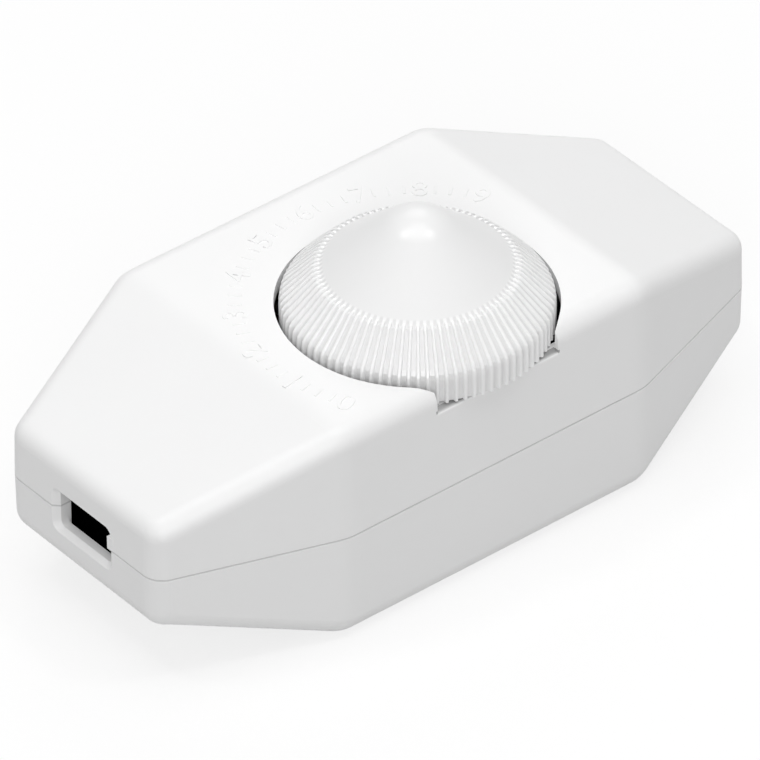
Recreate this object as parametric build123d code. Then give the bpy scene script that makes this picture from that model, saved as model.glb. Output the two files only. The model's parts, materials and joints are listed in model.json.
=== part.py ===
from build123d import *
import math
import os

# Inline cord dimmer, lying on its base.
# Millimetres. The origin is the centre of the flat base, +X runs along the cord,
# the ribbed wheel breaks out of the long side at -Y, and +Z is up.

# Housing: two shells that meet at half height
LENGTH = 90.0
WIDTH = 42.6
HEIGHT = 30.0
END_WIDTH = 27.1
END_HEIGHT = 13.9
SHOULDER = 22.4
PARTING = HEIGHT / 2
DRAFT = 1.0
WALL = 1.8
EDGE_ROUND = 2.5
BASE_ROUND = 2.8
INNER_ROUND = 1.0
END_CORNER = 2.9
SHOULDER_ROUND = 7.0
BEND_ROUND = 6.0
SEAM_RELIEF = 0.16
LIP_HEIGHT = 1.2
LIP_ROOT = 1.5
LIP_THICK = 0.8
LIP_GAP = 0.1

# Cord slot in each end, bevelled outwards
SLOT_HALF = 4.8
SLOT_FLOOR = 12.25
SLOT_ROOF = 17.6
SLOT_DEEP = 2.5
SLOT_BEVEL = 0.8
SLOT_MOUTH_DROP = 0.55
SLOT_MOUTH_RISE = 0.4
SLOT_CORNER = 0.8
SLOT_MOUTH_CORNER = 1.2
GATE_HALF = 6.2
TAB_REACH = 0.75
TAB_HEIGHT = 1.8

# Wheel
WHEEL_X = 0.35
WHEEL_Y = -6.15
WHEEL_R = 16.2
WHEEL_BOTTOM = 26.8
RIM_Z = 30.55
RIM_ROUND = 0.7
RING_Z = 34.87
RING_R = 12.08
RING_INNER = 11.1
RING_BEVEL = 0.28
RING_NOTCH = 0.3
RIBS = 90
RIB_TURN = -1.24
RIB_DEPTH = 0.45
RIB_CREST_SHARE = 0.18
RIB_EASE_SHARE = 0.34
RIB_ROOT_SHARE = 0.46
RIB_EASE = 0.1
TIP_R = 6.3
TIP_Z = 42.5
CONE_SLOPE = 40.0
SKIN = 1.5
HUB_R = 4.8
HUB_BOTTOM = 25.7
WEBS = 6
WEB_THICK = 1.0
WEB_RISE = 0.8

# Opening for the wheel: a round hole in the top that runs out through the long wall
HOLE_X = 0.12
HOLE_Y = -6.38
HOLE_R = 16.76
NOTCH_HALF = 9.1
NOTCH_FLOOR = 26.55
NOTCH_EASE = 0.4

# Circuit board, carried on posts of the lower shell
BOARD_THICK = 1.6
BOARD_TOP = 10.6
BOARD_BOTTOM = BOARD_TOP - BOARD_THICK
BOARD_HALF_LONG = 31.5
BOARD_END_HALF = 8.6
BOARD_MIDDLE_LONG = 22.4
BOARD_MIDDLE_HALF = 18.2
BOARD_CORNER = 2.5
BOARD_POSTS = [(-5.0, -16.2), (-0.6, 16.2)]
BOARD_RESTS = [(-29.0, 0.0), (29.0, 0.0)]
BOARD_HOLE_R = 1.25
POST_R = 2.4
POST_PILOT_R = 0.8
POST_PILOT_DEEP = 6.0
PIN_R = 0.45
PIN_BELOW = 1.4
PIN_FIT = 0.02

# Potentiometer on the wheel's axis, with its sealed switch below
POT_R = 8.2
POT_WALL = 0.6
SWITCH_TOP = 16.6
SWITCH_FLAT_X = -7.4
SWITCH_PIN = (-5.5, 2.5)
POT_TOP = 21.8
POT_WINDOW = (5.0, 5.6, 2.0)
TRACK_TOP = SWITCH_TOP + 1.6
TRACK_HALF = 5.4
TRACK_REACH = 2.2
TRACK_HOLE_R = 2.6
TRACK_PIN_X = POT_R + 1.2
TRACK_PINS_Y = (-4.0, 0.0, 4.0)
PIN_HEAD_R = PIN_R + 0.35
PIN_HEAD_H = 0.5
PLATE_THICK = 1.2
CLAW_HALF = 1.0
CLAW_DROP = 1.6
CLAW_OUT = 0.5
BUSHING_TOP = 25.2
BUSHING_R = 3.9
SHAFT_R = 3.0
SHAFT_FLAT = 1.5
SHAFT_START = SWITCH_TOP + 2.4
SHAFT_FLAT_START = BUSHING_TOP - 0.4
SHAFT_TOP = 36.8
COLLAR_R = 4.2
COLLAR_LOW = POT_TOP - 1.4
COLLAR_HIGH = POT_TOP - 0.3
ROTOR_R = 6.4
ROTOR_LOW = SWITCH_TOP + 2.2
ROTOR_FLAT = (4.4, 3.4)
FINGER_X = (-5.8, -3.4)
FINGERS_Y = (-2.2, 0.6)
FINGER_WIDE = 1.6
FINGER_LOW = SWITCH_TOP + 1.7
RUNNING = 0.05
PRESS = 0.02
WHEEL_SEAT_GAP = 0.3

# Case screws, driven from below
BOSS_X = 27.0
BOSS_Y = 13.6
BOSS_R = 4.0
UPPER_BOSS_R = 3.2
HEAD_SEAT = 5.0
HEAD_R = 2.7
HEAD_H = 1.8
HEAD_ROOM = 0.3
SHANK_R = 1.4
SHANK_ROOM = 0.2
SHANK_END = 21.5
PILOT_END = SHANK_END + 0.5

# Pan head screws: drive and crown as shares of the head
CROWN_SHARE = 0.45
DRIVE_REACH = 0.6
DRIVE_HALF = 0.14
DRIVE_DEPTH = 0.6

# Cord clamps behind the slots
CLAMP_X = 37.2
CLAMP_WIDE = 4.4
CLAMP_END = 2.6
CLAMP_CORNER = 1.6
CLAMP_SCREW_Y = 7.6
CLAMP_HOLE_R = 1.5
CLAMP_BAR_Z = 17.8
CLAMP_BAR_H = 2.4
CLAMP_POST_R = 2.1
CLAMP_SHANK_R = 1.05
CLAMP_GRIP = 5.5
CLAMP_PILOT = 7.0
CLAMP_HEAD_R = 2.2
CLAMP_HEAD_H = 1.5
SADDLE_TOP = 11.85
SADDLE_HALF = (0.9, 5.2)
RIDGE_TOP = 9.25
RIDGE_HALF = 2.1

# Board screws
BOARD_SHANK_R = 0.8
BOARD_GRIP = 5.0
BOARD_HEAD_R = 2.0
BOARD_HEAD_H = 1.3

# Mains terminals
TERMINAL_X = 26.5
TERMINAL_LONG = 8.6
TERMINAL_WIDE = 15.0
TERMINAL_TOP = 20.0
TERMINAL_BEVEL = 0.8
TERMINAL_BACK = 1.2
POLE_Y = 3.6
WIRE_R = 1.6
WIRE_Z = 14.2
TERMINAL_SCREW_R = 1.9
TERMINAL_SCREW_LOW = WIRE_Z + 1.2
TERMINAL_SCREW_TOP = TERMINAL_TOP - 0.8
SCREW_SLOT_HALF = 0.3
SCREW_SLOT_DEEP = 0.7

# Interference choke: a ferrite ring with one layer of wire
CHOKE = (-11.0, 9.4)
CHOKE_R = 7.6
CHOKE_HOLE_R = 3.6
CHOKE_HIGH = 6.0
CHOKE_BEVEL = 0.5
WIRE_THICK = 0.9
WINDING_BEVEL = 0.7
WINDING_ARC = 330.0
WINDING_START = 20.0
TURNS = 22
TURN_GAP_HALF = 0.12
TURN_GAP_DEEP = 0.55
WINDING_GAP_HALF = 0.8
WINDING_GAP_TURN = 5.0

# Fuse in its clips
FUSE = (-18.6, -7.6)
FUSE_Z = 14.4
FUSE_R = 2.6
FUSE_LONG = 20.0
CAP_LONG = 5.0
GLASS_SHRINK = 0.1
GLASS_WALL = 0.5
CLIP_LONG = 3.4
CLIP_WALL = 0.5
CLIP_MOUTH = 2.1
CLIP_FOOT = 1.6

# Capacitors
SUPPRESSOR = (12.6, 11.4)
SUPPRESSOR_HALF = (8.6, 4.2)
SUPPRESSOR_HIGH = 13.0
SUPPRESSOR_ROUND = 0.7
TIMER = (17.5, 4.2)
TIMER_HALF = (3.6, 1.3)
TIMER_HIGH = 6.5
TIMER_ROUND = 0.4

# Resistors and the trigger diode: place, body length and radius
GATE = (-12.2, -7.4)
TIMING = (7.4, 5.3)
RESISTOR_LONG = 6.4
RESISTOR_R = 1.2
DIAC = (11.6, -16.6)
DIAC_LONG = 3.8
DIAC_R = 0.9
LEAD_R = 0.3
LEAD_REACH = 1.6
LEAD_BEND = 0.45
LEAD_LIFT = 0.05
BODY_ROUND_SHARE = 0.35

# Power switch on its heat sink
TRIAC_Y = -7.0
TRIAC_HALF = 5.0
TRIAC_THICK = 4.4
TRIAC_LOW = BOARD_TOP + 3.4
TRIAC_TOP = BOARD_TOP + 9.4
TAB_THICK = 1.3
TAB_TOP = 25.4
TAB_HOLE_Z = 22.6
TAB_HOLE_R = 1.8
LEG_PITCH = 2.54
LEG_X = (-2.7, -2.2)
LEG_HALF = 0.4
SINK_X = 17.6
SINK_THICK = 1.5
SINK_LOW_Y = -16.0
SINK_HIGH_Y = 1.0
SINK_TOP = 25.5
SINK_FOOT = 4.4
SINK_BEND = 1.2
SINK_HOLE_R = 1.6
SINK_SCREW_R = 1.45
SINK_HEAD_R = 2.6
SINK_HEAD_H = 1.8
SINK_DRIVE = (1.5, 0.3, 0.2)
NUT_R = 2.9
NUT_H = 2.0
SINK_SCREW_END = 3.8

# Preset for the lowest light level
TRIMMER = (-12.2, -15.6)
TRIMMER_HALF = (2.6, 2.3)
TRIMMER_BODY_H = 3.2
TRIMMER_KNOB_R = 1.8
TRIMMER_KNOB_H = 1.0
TRIMMER_SLOT_HALF = 0.3
TRIMMER_SLOT_DEEP = 0.5

# How far a cutter runs past what it cuts
OVER = 1.0

UPRIGHT = (Align.CENTER, Align.CENTER, Align.MIN)


def tube(x, y, low, high, radius):
    """An upright round solid between two levels."""
    return Pos(x, y, low) * Cylinder(radius, high - low, align=UPRIGHT)


def block(low, high):
    """A box between two opposite corners."""
    size = [b - a for a, b in zip(low, high)]
    return Pos(*low) * Box(*size, align=(Align.MIN, Align.MIN, Align.MIN))


def standing(place, half, low, high):
    """An upright box of two half widths about a place on the board."""
    x, y = place
    return block((x - half[0], y - half[1], low), (x + half[0], y + half[1], high))


def lying(x, y, z, length, radius, axis="x"):
    """A round solid along X or Y, centred on a point."""
    turn = Rot(0, 90, 0) if axis == "x" else Rot(90, 0, 0)
    return Pos(x, y, z) * turn * Cylinder(radius, length)


def turned(points):
    """A solid of revolution about Z from a closed half section of (radius, height) points."""
    return revolve(Plane.XZ * make_face(Polyline(*points, close=True)), Axis.Z)


def boss_places():
    return [Pos(x, y, 0) for x in (-BOSS_X, BOSS_X) for y in (-BOSS_Y, BOSS_Y)]


# Housing forms

def plan(inset=0.0):
    """The eight-sided plan, drawn in by inset."""
    slant = math.atan2((WIDTH - END_WIDTH) / 2, LENGTH / 2 - SHOULDER)
    end_x = LENGTH / 2 - inset
    side_y = WIDTH / 2 - inset
    shoulder = SHOULDER - inset * math.tan(slant / 2)
    end_y = side_y - (end_x - shoulder) * math.tan(slant)
    outline = Polygon(
        (end_x, -end_y), (end_x, end_y), (shoulder, side_y), (-shoulder, side_y),
        (-end_x, end_y), (-end_x, -end_y), (-shoulder, -side_y), (shoulder, -side_y),
        align=None,
    )
    outline = fillet([v for v in outline.vertices() if abs(v.X) < SHOULDER + OVER], SHOULDER_ROUND)
    ends = [v for v in outline.vertices() if abs(v.X) > end_x - 0.01]
    return fillet(ends, max(END_CORNER - inset, INNER_ROUND))


def side(inset=0.0):
    """The eight-sided side view, level in the middle and falling to both ends."""
    slant = math.atan2((HEIGHT - END_HEIGHT) / 2, LENGTH / 2 - SHOULDER)
    end_x = LENGTH / 2 + OVER
    top = HEIGHT / 2 - inset
    shoulder = SHOULDER - inset * math.tan(slant / 2)
    end_z = top - (end_x - shoulder) * math.tan(slant)
    outline = Polygon(
        (end_x, -end_z), (end_x, end_z), (shoulder, top), (-shoulder, top),
        (-end_x, end_z), (-end_x, -end_z), (-shoulder, -top), (shoulder, -top),
        align=None,
    )
    return fillet([v for v in outline.vertices() if abs(v.X) < SHOULDER + OVER], BEND_ROUND)


def half_boat(up, inset, edge):
    """The solid form of one half of the housing, drawn in by inset, with its long edges rounded."""
    prism = extrude(plan(inset), amount=up * (PARTING + OVER), taper=DRAFT)
    form = prism & extrude(Plane.XZ * side(inset), amount=WIDTH, both=True)
    form = fillet([e for e in form.edges() if is_rim(e)], edge)
    return Pos(0, 0, PARTING) * form


def is_rim(edge):
    """True where a level, sloping or end face meets a wall, away from the parting plane."""
    low, high = edge.bounding_box().min, edge.bounding_box().max
    upright = high.X - low.X < OVER and high.Y - low.Y < OVER
    return not upright and abs(edge.center().Z) > END_HEIGHT / 4 and not is_bend(edge)


def is_bend(edge):
    """True where an edge runs straight across the housing between its level and sloping faces."""
    low, high = edge.bounding_box().min, edge.bounding_box().max
    return high.X - low.X < 0.01 and abs(low.X) < (SHOULDER + LENGTH / 2) / 2


def at_both_ends(cutter):
    """A feature of the -X end, and the same turned half a turn for the +X end."""
    return [cutter, Rot(0, 0, 180) * cutter]


def slot_outline(half, low, high, corner):
    return Plane.YZ * Pos(0, (low + high) / 2) * RectangleRounded(2 * half, high - low, corner)


def slot_cutter():
    """The slot's straight bore and its bevelled mouth, at the -X end."""
    bore = slot_outline(SLOT_HALF, SLOT_FLOOR, SLOT_ROOF, SLOT_CORNER)
    mouth = slot_outline(SLOT_HALF + SLOT_BEVEL, SLOT_FLOOR - SLOT_MOUTH_DROP,
                         SLOT_ROOF + SLOT_MOUTH_RISE, SLOT_MOUTH_CORNER)
    end_x = LENGTH / 2
    throat = Pos(-end_x - OVER, 0, 0) * extrude(bore, amount=OVER + WALL + SLOT_DEEP)
    bevel = loft([Pos(-end_x - 0.001, 0, 0) * mouth, Pos(-end_x + SLOT_BEVEL, 0, 0) * bore])
    return throat + bevel


def slot_tab():
    """The small step that narrows the upper half of the slot on one side, at the -X end."""
    outer_y = -(SLOT_HALF + SLOT_BEVEL)
    end_x = LENGTH / 2
    return block((-end_x, outer_y - TAB_REACH / 2, PARTING),
                 (-end_x + WALL, outer_y + TAB_REACH, PARTING + TAB_HEIGHT))


def lip_ring(gap, low, high):
    """The ring along the inside of the walls that keeps the two shells in line."""
    outer = extrude(plan(WALL - LIP_THICK - gap), amount=high - low)
    inner = extrude(plan(WALL + gap), amount=high - low)
    return Pos(0, 0, low) * (outer - inner)


def slot_gate():
    """Where the lip is left out for the cord, at the -X end."""
    end_x = LENGTH / 2
    return block((-end_x - OVER, -GATE_HALF, PARTING - LIP_GAP), (-end_x + WALL + OVER, GATE_HALF, HEIGHT))


def shell_half(up):
    """One hollow half, with a fine bevel along its outer parting edge."""
    form = half_boat(up, 0.0, EDGE_ROUND if up > 0 else BASE_ROUND)
    seam = form.faces().sort_by(Axis.Z)[0 if up > 0 else -1].outer_wire().edges()
    form = chamfer(seam, SEAM_RELIEF)
    return form, form - half_boat(up, WALL, INNER_ROUND)


def wheel_opening():
    """The round hole, with a straight-sided notch where it leaves through the long wall."""
    hole = tube(HOLE_X, HOLE_Y, NOTCH_FLOOR, HEIGHT + OVER, HOLE_R)
    notch = block((HOLE_X - NOTCH_HALF, -WIDTH, NOTCH_FLOOR), (HOLE_X + NOTCH_HALF, HOLE_Y, HEIGHT + OVER))
    return hole + notch


def is_notch_lip(edge):
    """True for the outer edge of the notch's floor, where it meets the long wall."""
    low, high = edge.bounding_box().min, edge.bounding_box().max
    straight = high.Y - low.Y < 0.01 and high.Z - low.Z < 0.01
    return straight and abs(low.Z - NOTCH_FLOOR) < 0.01 and high.Y < WALL - WIDTH / 2


def upper_shell():
    form, shell = shell_half(1)
    for place in boss_places():
        shell += (place * tube(0, 0, PARTING, HEIGHT, UPPER_BOSS_R)) & form
    groove = lip_ring(LIP_GAP, PARTING - LIP_GAP, PARTING + LIP_HEIGHT + LIP_GAP)
    for gate in at_both_ends(slot_gate()):
        groove -= gate
    shell -= groove
    shell -= wheel_opening()
    shell = fillet([e for e in shell.edges() if is_notch_lip(e)], NOTCH_EASE)
    for place in boss_places():
        shell -= place * tube(0, 0, PARTING - OVER, PILOT_END, SHANK_R)
    for cutter in at_both_ends(slot_cutter()):
        shell -= cutter
    for tab in at_both_ends(slot_tab()):
        shell += tab
    return shell


def clamp_saddle():
    """The rib that the cord lies on and the two posts that take the clamp's screws, at the -X end."""
    rib = standing((-CLAMP_X, 0.0), SADDLE_HALF, WALL, SADDLE_TOP)
    ridge = standing((-CLAMP_X, 0.0), (RIDGE_HALF, CLAMP_SCREW_Y), WALL, RIDGE_TOP)
    posts = []
    holes = []
    for side_y in (-CLAMP_SCREW_Y, CLAMP_SCREW_Y):
        posts.append(tube(-CLAMP_X, side_y, WALL, CLAMP_BAR_Z, CLAMP_POST_R))
        holes.append(tube(-CLAMP_X, side_y, CLAMP_BAR_Z - CLAMP_PILOT, CLAMP_BAR_Z + OVER, CLAMP_SHANK_R))
    return rib + ridge + posts - holes


def lower_shell():
    form, shell = shell_half(-1)
    lip = lip_ring(0, PARTING - LIP_ROOT, PARTING + LIP_HEIGHT)
    for gate in at_both_ends(slot_gate()):
        lip -= gate
    shell += lip
    additions = []
    for place in boss_places():
        additions.append(place * tube(0, 0, 0, PARTING, BOSS_R))
    for x, y in BOARD_POSTS + BOARD_RESTS:
        additions.append(tube(x, y, WALL / 2, BOARD_BOTTOM, POST_R))
    additions += at_both_ends(clamp_saddle())
    for piece in additions:
        shell += trimmed(piece, form)
    for place in boss_places():
        shell -= place * tube(0, 0, -OVER, HEAD_SEAT, HEAD_R + HEAD_ROOM)
        shell -= place * tube(0, 0, 0, HEIGHT, SHANK_R + SHANK_ROOM)
    for x, y in BOARD_POSTS:
        shell -= tube(x, y, BOARD_BOTTOM - POST_PILOT_DEEP, BOARD_BOTTOM + OVER, POST_PILOT_R)
    for cutter in at_both_ends(slot_cutter()):
        shell -= cutter
    return shell


def trimmed(piece, form):
    """The piece cut off at the housing's outer form below the parting plane, whole above it."""
    above = block((-LENGTH, -WIDTH, PARTING), (LENGTH, WIDTH, 2 * HEIGHT))
    return (piece & form) + (piece & above)


# Wheel and potentiometer

def star(radius):
    """The ribbed outline: eased narrow crests between wider flat-bottomed grooves."""
    pitch = 2 * math.pi / RIBS
    scale = radius / WHEEL_R
    section = [
        (radius, -RIB_CREST_SHARE / 2),
        (radius, RIB_CREST_SHARE / 2),
        (radius - RIB_EASE * scale, RIB_EASE_SHARE / 2),
        (radius - RIB_DEPTH * scale, 0.5 - RIB_ROOT_SHARE / 2),
        (radius - RIB_DEPTH * scale, 0.5 + RIB_ROOT_SHARE / 2),
        (radius - RIB_EASE * scale, 1 - RIB_EASE_SHARE / 2),
    ]
    points = []
    for rib in range(RIBS):
        for reach, share in section:
            angle = (rib + share) * pitch
            points.append((reach * math.cos(angle), reach * math.sin(angle)))
    return Polygon(*points, align=None)


def eased_corner(before, corner, after, reach):
    """Three points that round off the corner of a half section, reach to each side of it."""
    corner = Vector(*corner)
    start = corner + (Vector(*before) - corner).normalized() * reach
    end = corner + (Vector(*after) - corner).normalized() * reach
    middle = (start + corner * 2 + end) * 0.25
    return [(point.X, point.Y) for point in (start, middle, end)]


def ribbed_rim():
    """The upright ribbed band, eased into the ribbed flank that closes in to the ring."""
    foot = (WHEEL_R, WHEEL_BOTTOM)
    rim = (WHEEL_R, RIM_Z)
    ring = (RING_R, RING_Z)
    crest = (RING_R + RING_BEVEL, RING_Z - RING_BEVEL * (RING_Z - RIM_Z) / (WHEEL_R - RING_R))
    levels = [foot] + eased_corner(foot, rim, ring, RIM_ROUND) + [crest, (RING_R - RING_BEVEL, RING_Z)]
    sections = [Pos(0, 0, level) * star(radius) for radius, level in levels]
    return Rot(0, 0, RIB_TURN) * loft(sections, ruled=True)


def ring_notches():
    """The ends of the grooves, where they cross the ring's narrow level top."""
    pitch = 2 * math.pi * RING_INNER / RIBS
    low_half = pitch * RIB_ROOT_SHARE / 2
    high_half = pitch * (1 - RIB_EASE_SHARE) / 2
    low_z = RING_Z - RING_NOTCH
    section = Polygon((-low_half, low_z), (low_half, low_z),
                      (high_half, RING_Z), (-high_half, RING_Z), align=None)
    start = RING_INNER - RING_NOTCH
    groove = Pos(start, 0, 0) * extrude(Plane.YZ * section, amount=RING_R + RING_NOTCH - start)
    return [Rot(0, 0, RIB_TURN + (rib + 0.5) * 360 / RIBS) * groove for rib in range(RIBS)]


def cone(inset, base_z):
    """The smooth middle of the wheel: a round tip that runs out into a straight cone."""
    slope = math.radians(CONE_SLOPE)
    tip_r = TIP_R - inset
    centre_z = TIP_Z - TIP_R
    top = (0, centre_z + tip_r)
    middle = (tip_r * math.sin(slope / 2), centre_z + tip_r * math.cos(slope / 2))
    shoulder = (tip_r * math.sin(slope), centre_z + tip_r * math.cos(slope))
    foot_z = RING_Z - RING_NOTCH - inset
    foot_r = shoulder[0] + (shoulder[1] - foot_z) / math.tan(slope)
    outline = ThreePointArc(top, middle, shoulder)
    outline += Polyline(shoulder, (foot_r, foot_z), (foot_r, base_z), (0, base_z), top)
    return revolve(Plane.XZ * make_face(outline), Axis.Z)


def dimmer_wheel():
    """A moulded wheel, hollow below, with a hub and webs that grip the flatted shaft."""
    wheel = ribbed_rim() - ring_notches()
    wheel -= tube(0, 0, RING_Z - RING_NOTCH, RING_Z + OVER, RING_INNER)
    wheel += cone(0, RING_Z - RING_NOTCH - SKIN / 2)
    wheel -= wheel_hollow()
    wheel += tube(0, 0, HUB_BOTTOM, WHEEL_BOTTOM + OVER, HUB_R)
    wheel -= flatted(SHAFT_R + PRESS, HUB_BOTTOM - OVER, SHAFT_TOP + WHEEL_SEAT_GAP)
    return on_axis(wheel)


def wheel_hollow():
    """The space below the skin, round the hub and between the webs."""
    inner_r = WHEEL_R - RIB_DEPTH - SKIN
    slope = (WHEEL_R - RING_R) / (RING_Z - RIM_Z)
    roof_z = RING_Z - RING_NOTCH - SKIN
    roof_r = inner_r - slope * (roof_z - RIM_Z)
    below_z = WHEEL_BOTTOM - OVER
    hollow = turned([(0, below_z), (inner_r, below_z), (inner_r, RIM_Z), (roof_r, roof_z), (0, roof_z)])
    hollow += cone(SKIN, WHEEL_BOTTOM)
    hub = tube(0, 0, below_z - OVER, TIP_Z, HUB_R)
    for index in range(WEBS):
        web = block((0, -WEB_THICK / 2, WHEEL_BOTTOM + WEB_RISE), (WHEEL_R, WEB_THICK / 2, TIP_Z))
        hub += Rot(0, 0, (index + 0.25) * 360 / WEBS) * web
    return hollow - hub


def flatted(radius, low, high):
    """A round bar with one flat side."""
    bar = tube(0, 0, low, high, radius)
    flat_x = SHAFT_FLAT + radius - SHAFT_R
    wide = radius + OVER
    return bar - block((flat_x, -wide, low - OVER), (wide, wide, high + OVER))


def on_axis(piece):
    return Pos(WHEEL_X, WHEEL_Y, 0) * piece


def off_switch():
    """The sealed click switch below the potentiometer, with its two pins."""
    kept = block((SWITCH_FLAT_X, -POT_R - OVER, 0), (POT_R + OVER, POT_R + OVER, HEIGHT))
    case = tube(0, 0, BOARD_TOP, SWITCH_TOP, POT_R) & kept
    pin_x, pin_y = SWITCH_PIN
    for side_y in (-pin_y, pin_y):
        case += tube(pin_x, side_y, BOARD_BOTTOM - PIN_BELOW, BOARD_TOP, PIN_R)
    return on_axis(case)


def pot_case():
    """The drawn can that holds the track."""
    can = tube(0, 0, SWITCH_TOP, POT_TOP, POT_R)
    can -= tube(0, 0, SWITCH_TOP + POT_WALL, POT_TOP + OVER, POT_R - POT_WALL)
    start_x, half, high = POT_WINDOW
    can -= block((start_x, -half, SWITCH_TOP - OVER), (POT_R + OVER, half, SWITCH_TOP + high))
    return on_axis(can)


def pot_track():
    """The horseshoe resistance track on its board, with a tail for the three pins."""
    track = tube(0, 0, SWITCH_TOP + POT_WALL, TRACK_TOP, POT_R - POT_WALL - RUNNING)
    track += block((0, -TRACK_HALF, SWITCH_TOP + POT_WALL), (POT_R + TRACK_REACH, TRACK_HALF, TRACK_TOP))
    track -= tube(0, 0, SWITCH_TOP, TRACK_TOP + OVER, TRACK_HOLE_R)
    for side_y in TRACK_PINS_Y:
        track -= tube(TRACK_PIN_X, side_y, SWITCH_TOP, TRACK_TOP + OVER, PIN_R + PIN_FIT)
    return on_axis(track)


def pot_pins():
    """Three pins from the track's tail down through the circuit board."""
    pins = []
    for side_y in TRACK_PINS_Y:
        shank = tube(TRACK_PIN_X, side_y, BOARD_BOTTOM - PIN_BELOW, TRACK_TOP + PIN_HEAD_H, PIN_R)
        head = tube(TRACK_PIN_X, side_y, TRACK_TOP, TRACK_TOP + PIN_HEAD_H, PIN_HEAD_R)
        pins.append(on_axis(shank + head))
    return pins


def pot_bushing():
    """The cast plate that closes the can with four claws, and the bearing of the shaft."""
    plate_top = POT_TOP + PLATE_THICK
    plate = tube(0, 0, POT_TOP, plate_top, POT_R)
    claw = block((POT_R - OVER, -CLAW_HALF, POT_TOP - CLAW_DROP), (POT_R + CLAW_OUT, CLAW_HALF, plate_top))
    for index in range(4):
        plate += Rot(0, 0, 45 + 90 * index) * claw
    plate -= tube(0, 0, POT_TOP - CLAW_DROP - OVER, POT_TOP, POT_R)
    plate += tube(0, 0, POT_TOP, BUSHING_TOP, BUSHING_R)
    plate -= tube(0, 0, POT_TOP - OVER, BUSHING_TOP + OVER, SHAFT_R + RUNNING)
    return on_axis(plate)


def pot_shaft():
    """The flatted shaft that the wheel is pressed on."""
    shaft = tube(0, 0, SHAFT_START, SHAFT_FLAT_START, SHAFT_R)
    shaft += flatted(SHAFT_R, SHAFT_FLAT_START, SHAFT_TOP)
    collar = tube(0, 0, COLLAR_LOW, COLLAR_HIGH, COLLAR_R)
    return on_axis(shaft + collar)


def pot_wiper():
    """The moulded rotor on the shaft, with two sprung fingers over the track."""
    rotor = tube(0, 0, ROTOR_LOW, COLLAR_LOW, ROTOR_R)
    rotor -= tube(0, 0, SHAFT_START, POT_TOP, SHAFT_R + PRESS)
    flat_x, flat_half = ROTOR_FLAT
    rotor -= block((flat_x, -flat_half, 0), (POT_R, flat_half, HEIGHT))
    for side_y in FINGERS_Y:
        rotor += block((FINGER_X[0], side_y, FINGER_LOW), (FINGER_X[1], side_y + FINGER_WIDE, ROTOR_LOW))
    return on_axis(rotor)


# Circuit board and what it carries

def board_pins():
    """Where the potentiometer's and the switch's pins go through the board."""
    pins = [(WHEEL_X + TRACK_PIN_X, WHEEL_Y + side_y) for side_y in TRACK_PINS_Y]
    pin_x, pin_y = SWITCH_PIN
    pins += [(WHEEL_X + pin_x, WHEEL_Y + side_y) for side_y in (-pin_y, pin_y)]
    return pins


def circuit_board():
    """The board, widened in the middle, with holes for its screws and for the pins."""
    centre = (0.0, 0.0)
    board = standing(centre, (BOARD_MIDDLE_LONG, BOARD_MIDDLE_HALF), BOARD_BOTTOM, BOARD_TOP)
    board += standing(centre, (BOARD_HALF_LONG, BOARD_END_HALF), BOARD_BOTTOM, BOARD_TOP)
    corners = [e for e in board.edges().filter_by(Axis.Z) if abs(e.center().Y) > BOARD_MIDDLE_HALF - 0.1]
    board = chamfer(corners, BOARD_CORNER)
    for x, y in BOARD_POSTS:
        board -= tube(x, y, BOARD_BOTTOM - OVER, BOARD_TOP + OVER, BOARD_HOLE_R)
    for x, y in board_pins():
        board -= tube(x, y, BOARD_BOTTOM - OVER, BOARD_TOP + OVER, PIN_R + PIN_FIT)
    return board


def ring(hole_r, outer_r, low, high, bevel):
    """A flat ring with bevelled edges."""
    form = turned([(hole_r, low), (outer_r, low), (outer_r, high), (hole_r, high)])
    return chamfer(form.edges().filter_by(GeomType.CIRCLE), bevel)


def choke_core():
    """The ferrite ring, lying flat."""
    core = ring(CHOKE_HOLE_R, CHOKE_R, 0, CHOKE_HIGH, CHOKE_BEVEL)
    return Pos(*CHOKE, BOARD_TOP + WIRE_THICK) * core


def choke_winding():
    """One layer of enamelled wire round the ring: a sleeve parted into turns."""
    grow = WIRE_THICK
    sleeve = ring(CHOKE_HOLE_R - grow, CHOKE_R + grow, -grow, CHOKE_HIGH + grow, WINDING_BEVEL)
    sleeve -= ring(CHOKE_HOLE_R, CHOKE_R, 0, CHOKE_HIGH, CHOKE_BEVEL)
    low_z = -grow - OVER
    high_z = CHOKE_HIGH + grow + OVER
    out_x = CHOKE_R + grow + OVER
    deep = grow - TURN_GAP_DEEP
    slit = block(((CHOKE_HOLE_R + CHOKE_R) / 2, -TURN_GAP_HALF, low_z), (out_x, TURN_GAP_HALF, high_z))
    slit -= block((0, -OVER, -deep), (CHOKE_R + deep, OVER, CHOKE_HIGH + deep))
    sleeve -= [Rot(0, 0, WINDING_START + turn * WINDING_ARC / TURNS) * slit for turn in range(TURNS)]
    bare = block((0, -WINDING_GAP_HALF, low_z), (out_x, WINDING_GAP_HALF, high_z))
    sleeve -= Rot(0, 0, WINDING_GAP_TURN) * bare
    return Pos(*CHOKE, BOARD_TOP + WIRE_THICK) * sleeve


def on_fuse(y, length, radius):
    """A round solid on the fuse's axis."""
    return lying(FUSE[0], y, FUSE_Z, length, radius, "y")


def fuse_ends():
    """The middle of each of the fuse's two caps, along Y."""
    return [FUSE[1] + way * (FUSE_LONG - CAP_LONG) / 2 for way in (-1, 1)]


def fuse_tube():
    length = FUSE_LONG - 2 * CAP_LONG
    outer_r = FUSE_R - GLASS_SHRINK
    return on_fuse(FUSE[1], length, outer_r) - on_fuse(FUSE[1], length + OVER, outer_r - GLASS_WALL)


def fuse_caps():
    return [on_fuse(y, CAP_LONG, FUSE_R) for y in fuse_ends()]


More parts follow.
